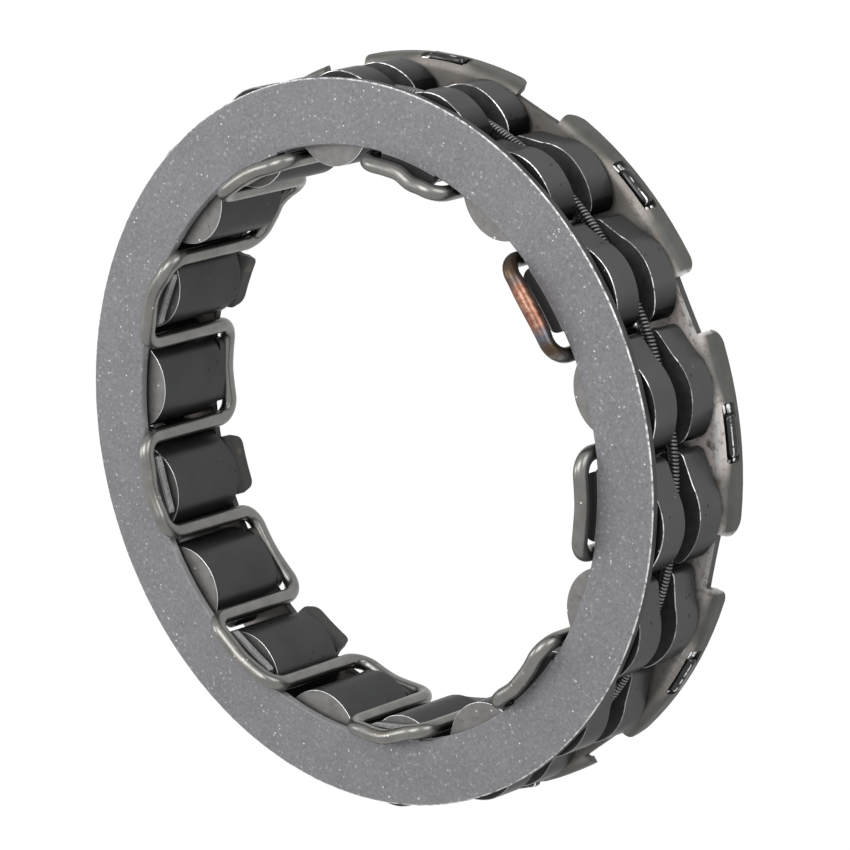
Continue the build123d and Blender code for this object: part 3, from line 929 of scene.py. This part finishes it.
def window_tips(material):
    """The shoes' two curled bright tips in each end of every window, as one mesh of rounded slabs."""
    form = bmesh.new()
    for tab in range(TABS):
        for middle, length, height, width in TIPS:
            angle = tab * TAB_PITCH + middle * MM / TIP_RADIUS
            spot = Matrix.Translation(on_cylinder(TIP_RADIUS, angle, height * MM))
            turn = Matrix.Rotation(angle, 4, "Z")
            size = Matrix.Diagonal((TIP_THICKNESS / 2, length / 2 * MM, width / 2 * MM, 1))
            made = bmesh.ops.create_uvsphere(
                form, u_segments=TIP_SEGMENTS, v_segments=TIP_RINGS, radius=1
            )
            for vertex in made["verts"]:
                vertex.co = Vector([squared(part) for part in vertex.co])
            bmesh.ops.transform(form, matrix=spot @ turn @ size, verts=made["verts"])
    for face in form.faces:
        face.smooth = True
    mesh = bpy.data.meshes.new("window_tips")
    form.to_mesh(mesh)
    form.free()
    mesh.materials.append(material)
    piece = shown("window_tips", mesh)
    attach(piece, "cage")


def photograph_camera():
    """The camera where the photograph was taken from, rolled as it was held."""
    turn = Matrix.Rotation(radians(PHOTO_TURN), 4, "Z")
    place = turn @ CAMERA_FROM_RING + Vector((0, 0, RING_FRONT))
    axes = Matrix((CAMERA_RIGHT, CAMERA_UP, CAMERA_BACK)).transposed().to_4x4()
    data = bpy.data.cameras.new("photograph_camera")
    data.lens = CAMERA_LENS
    data.sensor_width = SENSOR_WIDTH
    data.clip_start = NEAREST_SEEN
    data.clip_end = FARTHEST_SEEN
    camera = shown("photograph_camera", data)
    camera.matrix_world = Matrix.Translation(place) @ turn @ axes
    bpy.context.scene.camera = camera
    return camera


def soft_light(name, place, width, power):
    """A square softbox that faces the part."""
    data = bpy.data.lights.new(name, "AREA")
    data.energy = power
    data.size = width
    light = shown(name, data)
    light.location = place
    light.rotation_mode = "QUATERNION"
    light.rotation_quaternion = (-place).to_track_quat("-Z", "Y")


def seen_white(tree):
    """One for rays from the camera and for reflections, which see the plain white surround."""
    path = put(tree, "ShaderNodeLightPath").outputs
    seen = maths(tree, "MAXIMUM", path["Is Camera Ray"], path["Is Glossy Ray"])
    return maths(tree, "MAXIMUM", seen, path["Is Transmission Ray"])


def white_surround():
    """A world that looks white and lights the part softly."""
    world = bpy.data.worlds.new("white_surround")
    bpy.context.scene.world = world
    world.use_nodes = True
    tree = world.node_tree
    tree.nodes.clear()
    soft = {"Color": grey(1.0), "Strength": SURROUND_LIGHT}
    white = {"Color": grey(1.0), "Strength": 1.0}
    lit = put(tree, "ShaderNodeBackground", soft).outputs[0]
    seen = put(tree, "ShaderNodeBackground", white).outputs[0]
    both = put(tree, "ShaderNodeMixShader", {0: seen_white(tree), 1: lit, 2: seen}).outputs[0]
    put(tree, "ShaderNodeOutputWorld", {"Surface": both})


def white_paper():
    """The floor's matt white, which mostly glows where it is seen, so that it fades into the surround."""
    paper = bpy.data.materials.new("white_paper")
    paper.use_nodes = True
    tree = paper.node_tree
    tree.nodes.clear()
    matt = put(tree, "ShaderNodeBsdfDiffuse", {"Color": grey(PAPER_LEVEL)}).outputs[0]
    glow = {"Color": grey(1.0), "Strength": PAPER_GLOW}
    glowing = put(tree, "ShaderNodeEmission", glow).outputs[0]
    share = maths(tree, "MULTIPLY", seen_white(tree), PAPER_GLOW_SHARE)
    both = put(tree, "ShaderNodeMixShader", {0: share, 1: matt, 2: glowing}).outputs[0]
    put(tree, "ShaderNodeOutputMaterial", {"Surface": both})
    return paper


def paper_floor():
    """A wide white floor at the level of the rear rim's edges."""
    mesh = bpy.data.meshes.new("floor")
    corners = [(-1, -1, 0), (1, -1, 0), (1, 1, 0), (-1, 1, 0)]
    mesh.from_pydata([Vector(corner) * FLOOR_REACH for corner in corners], [], [(0, 1, 2, 3)])
    mesh.materials.append(white_paper())
    floor = shown("floor", mesh)


def studio(camera):
    """Pale floor, white surround and three softboxes placed by the camera's own axes."""
    white_surround()
    paper_floor()
    axes = camera.matrix_world.to_3x3()
    for name, (place, width, power) in SOFTBOXES.items():
        soft_light(name, axes @ Vector(place), width, power)


def main():
    blanked_ring(blasted_ring_steel())
    finish_rear_plate(pressed_plate_steel())
    clip_steel = glossy_clip_steel()
    for number in range(1, TABS + 1):
        rounded_clip(number, clip_steel)
    window_tips(bright_clip_steel())
    bent_wire(drawn_wire_steel())
    coiled_spring(dark_coil_steel())
    sprag_steels = [polished_sprag_steel(), matt_sprag_end_steel(), painted_highlight_edge_steel(), dull_slot_steel()]
    for number in range(1, SPRAGS + 1):
        eased_sprag(number, sprag_steels)
    studio(photograph_camera())
    bpy.context.scene.view_settings.view_transform = "Standard"


main()
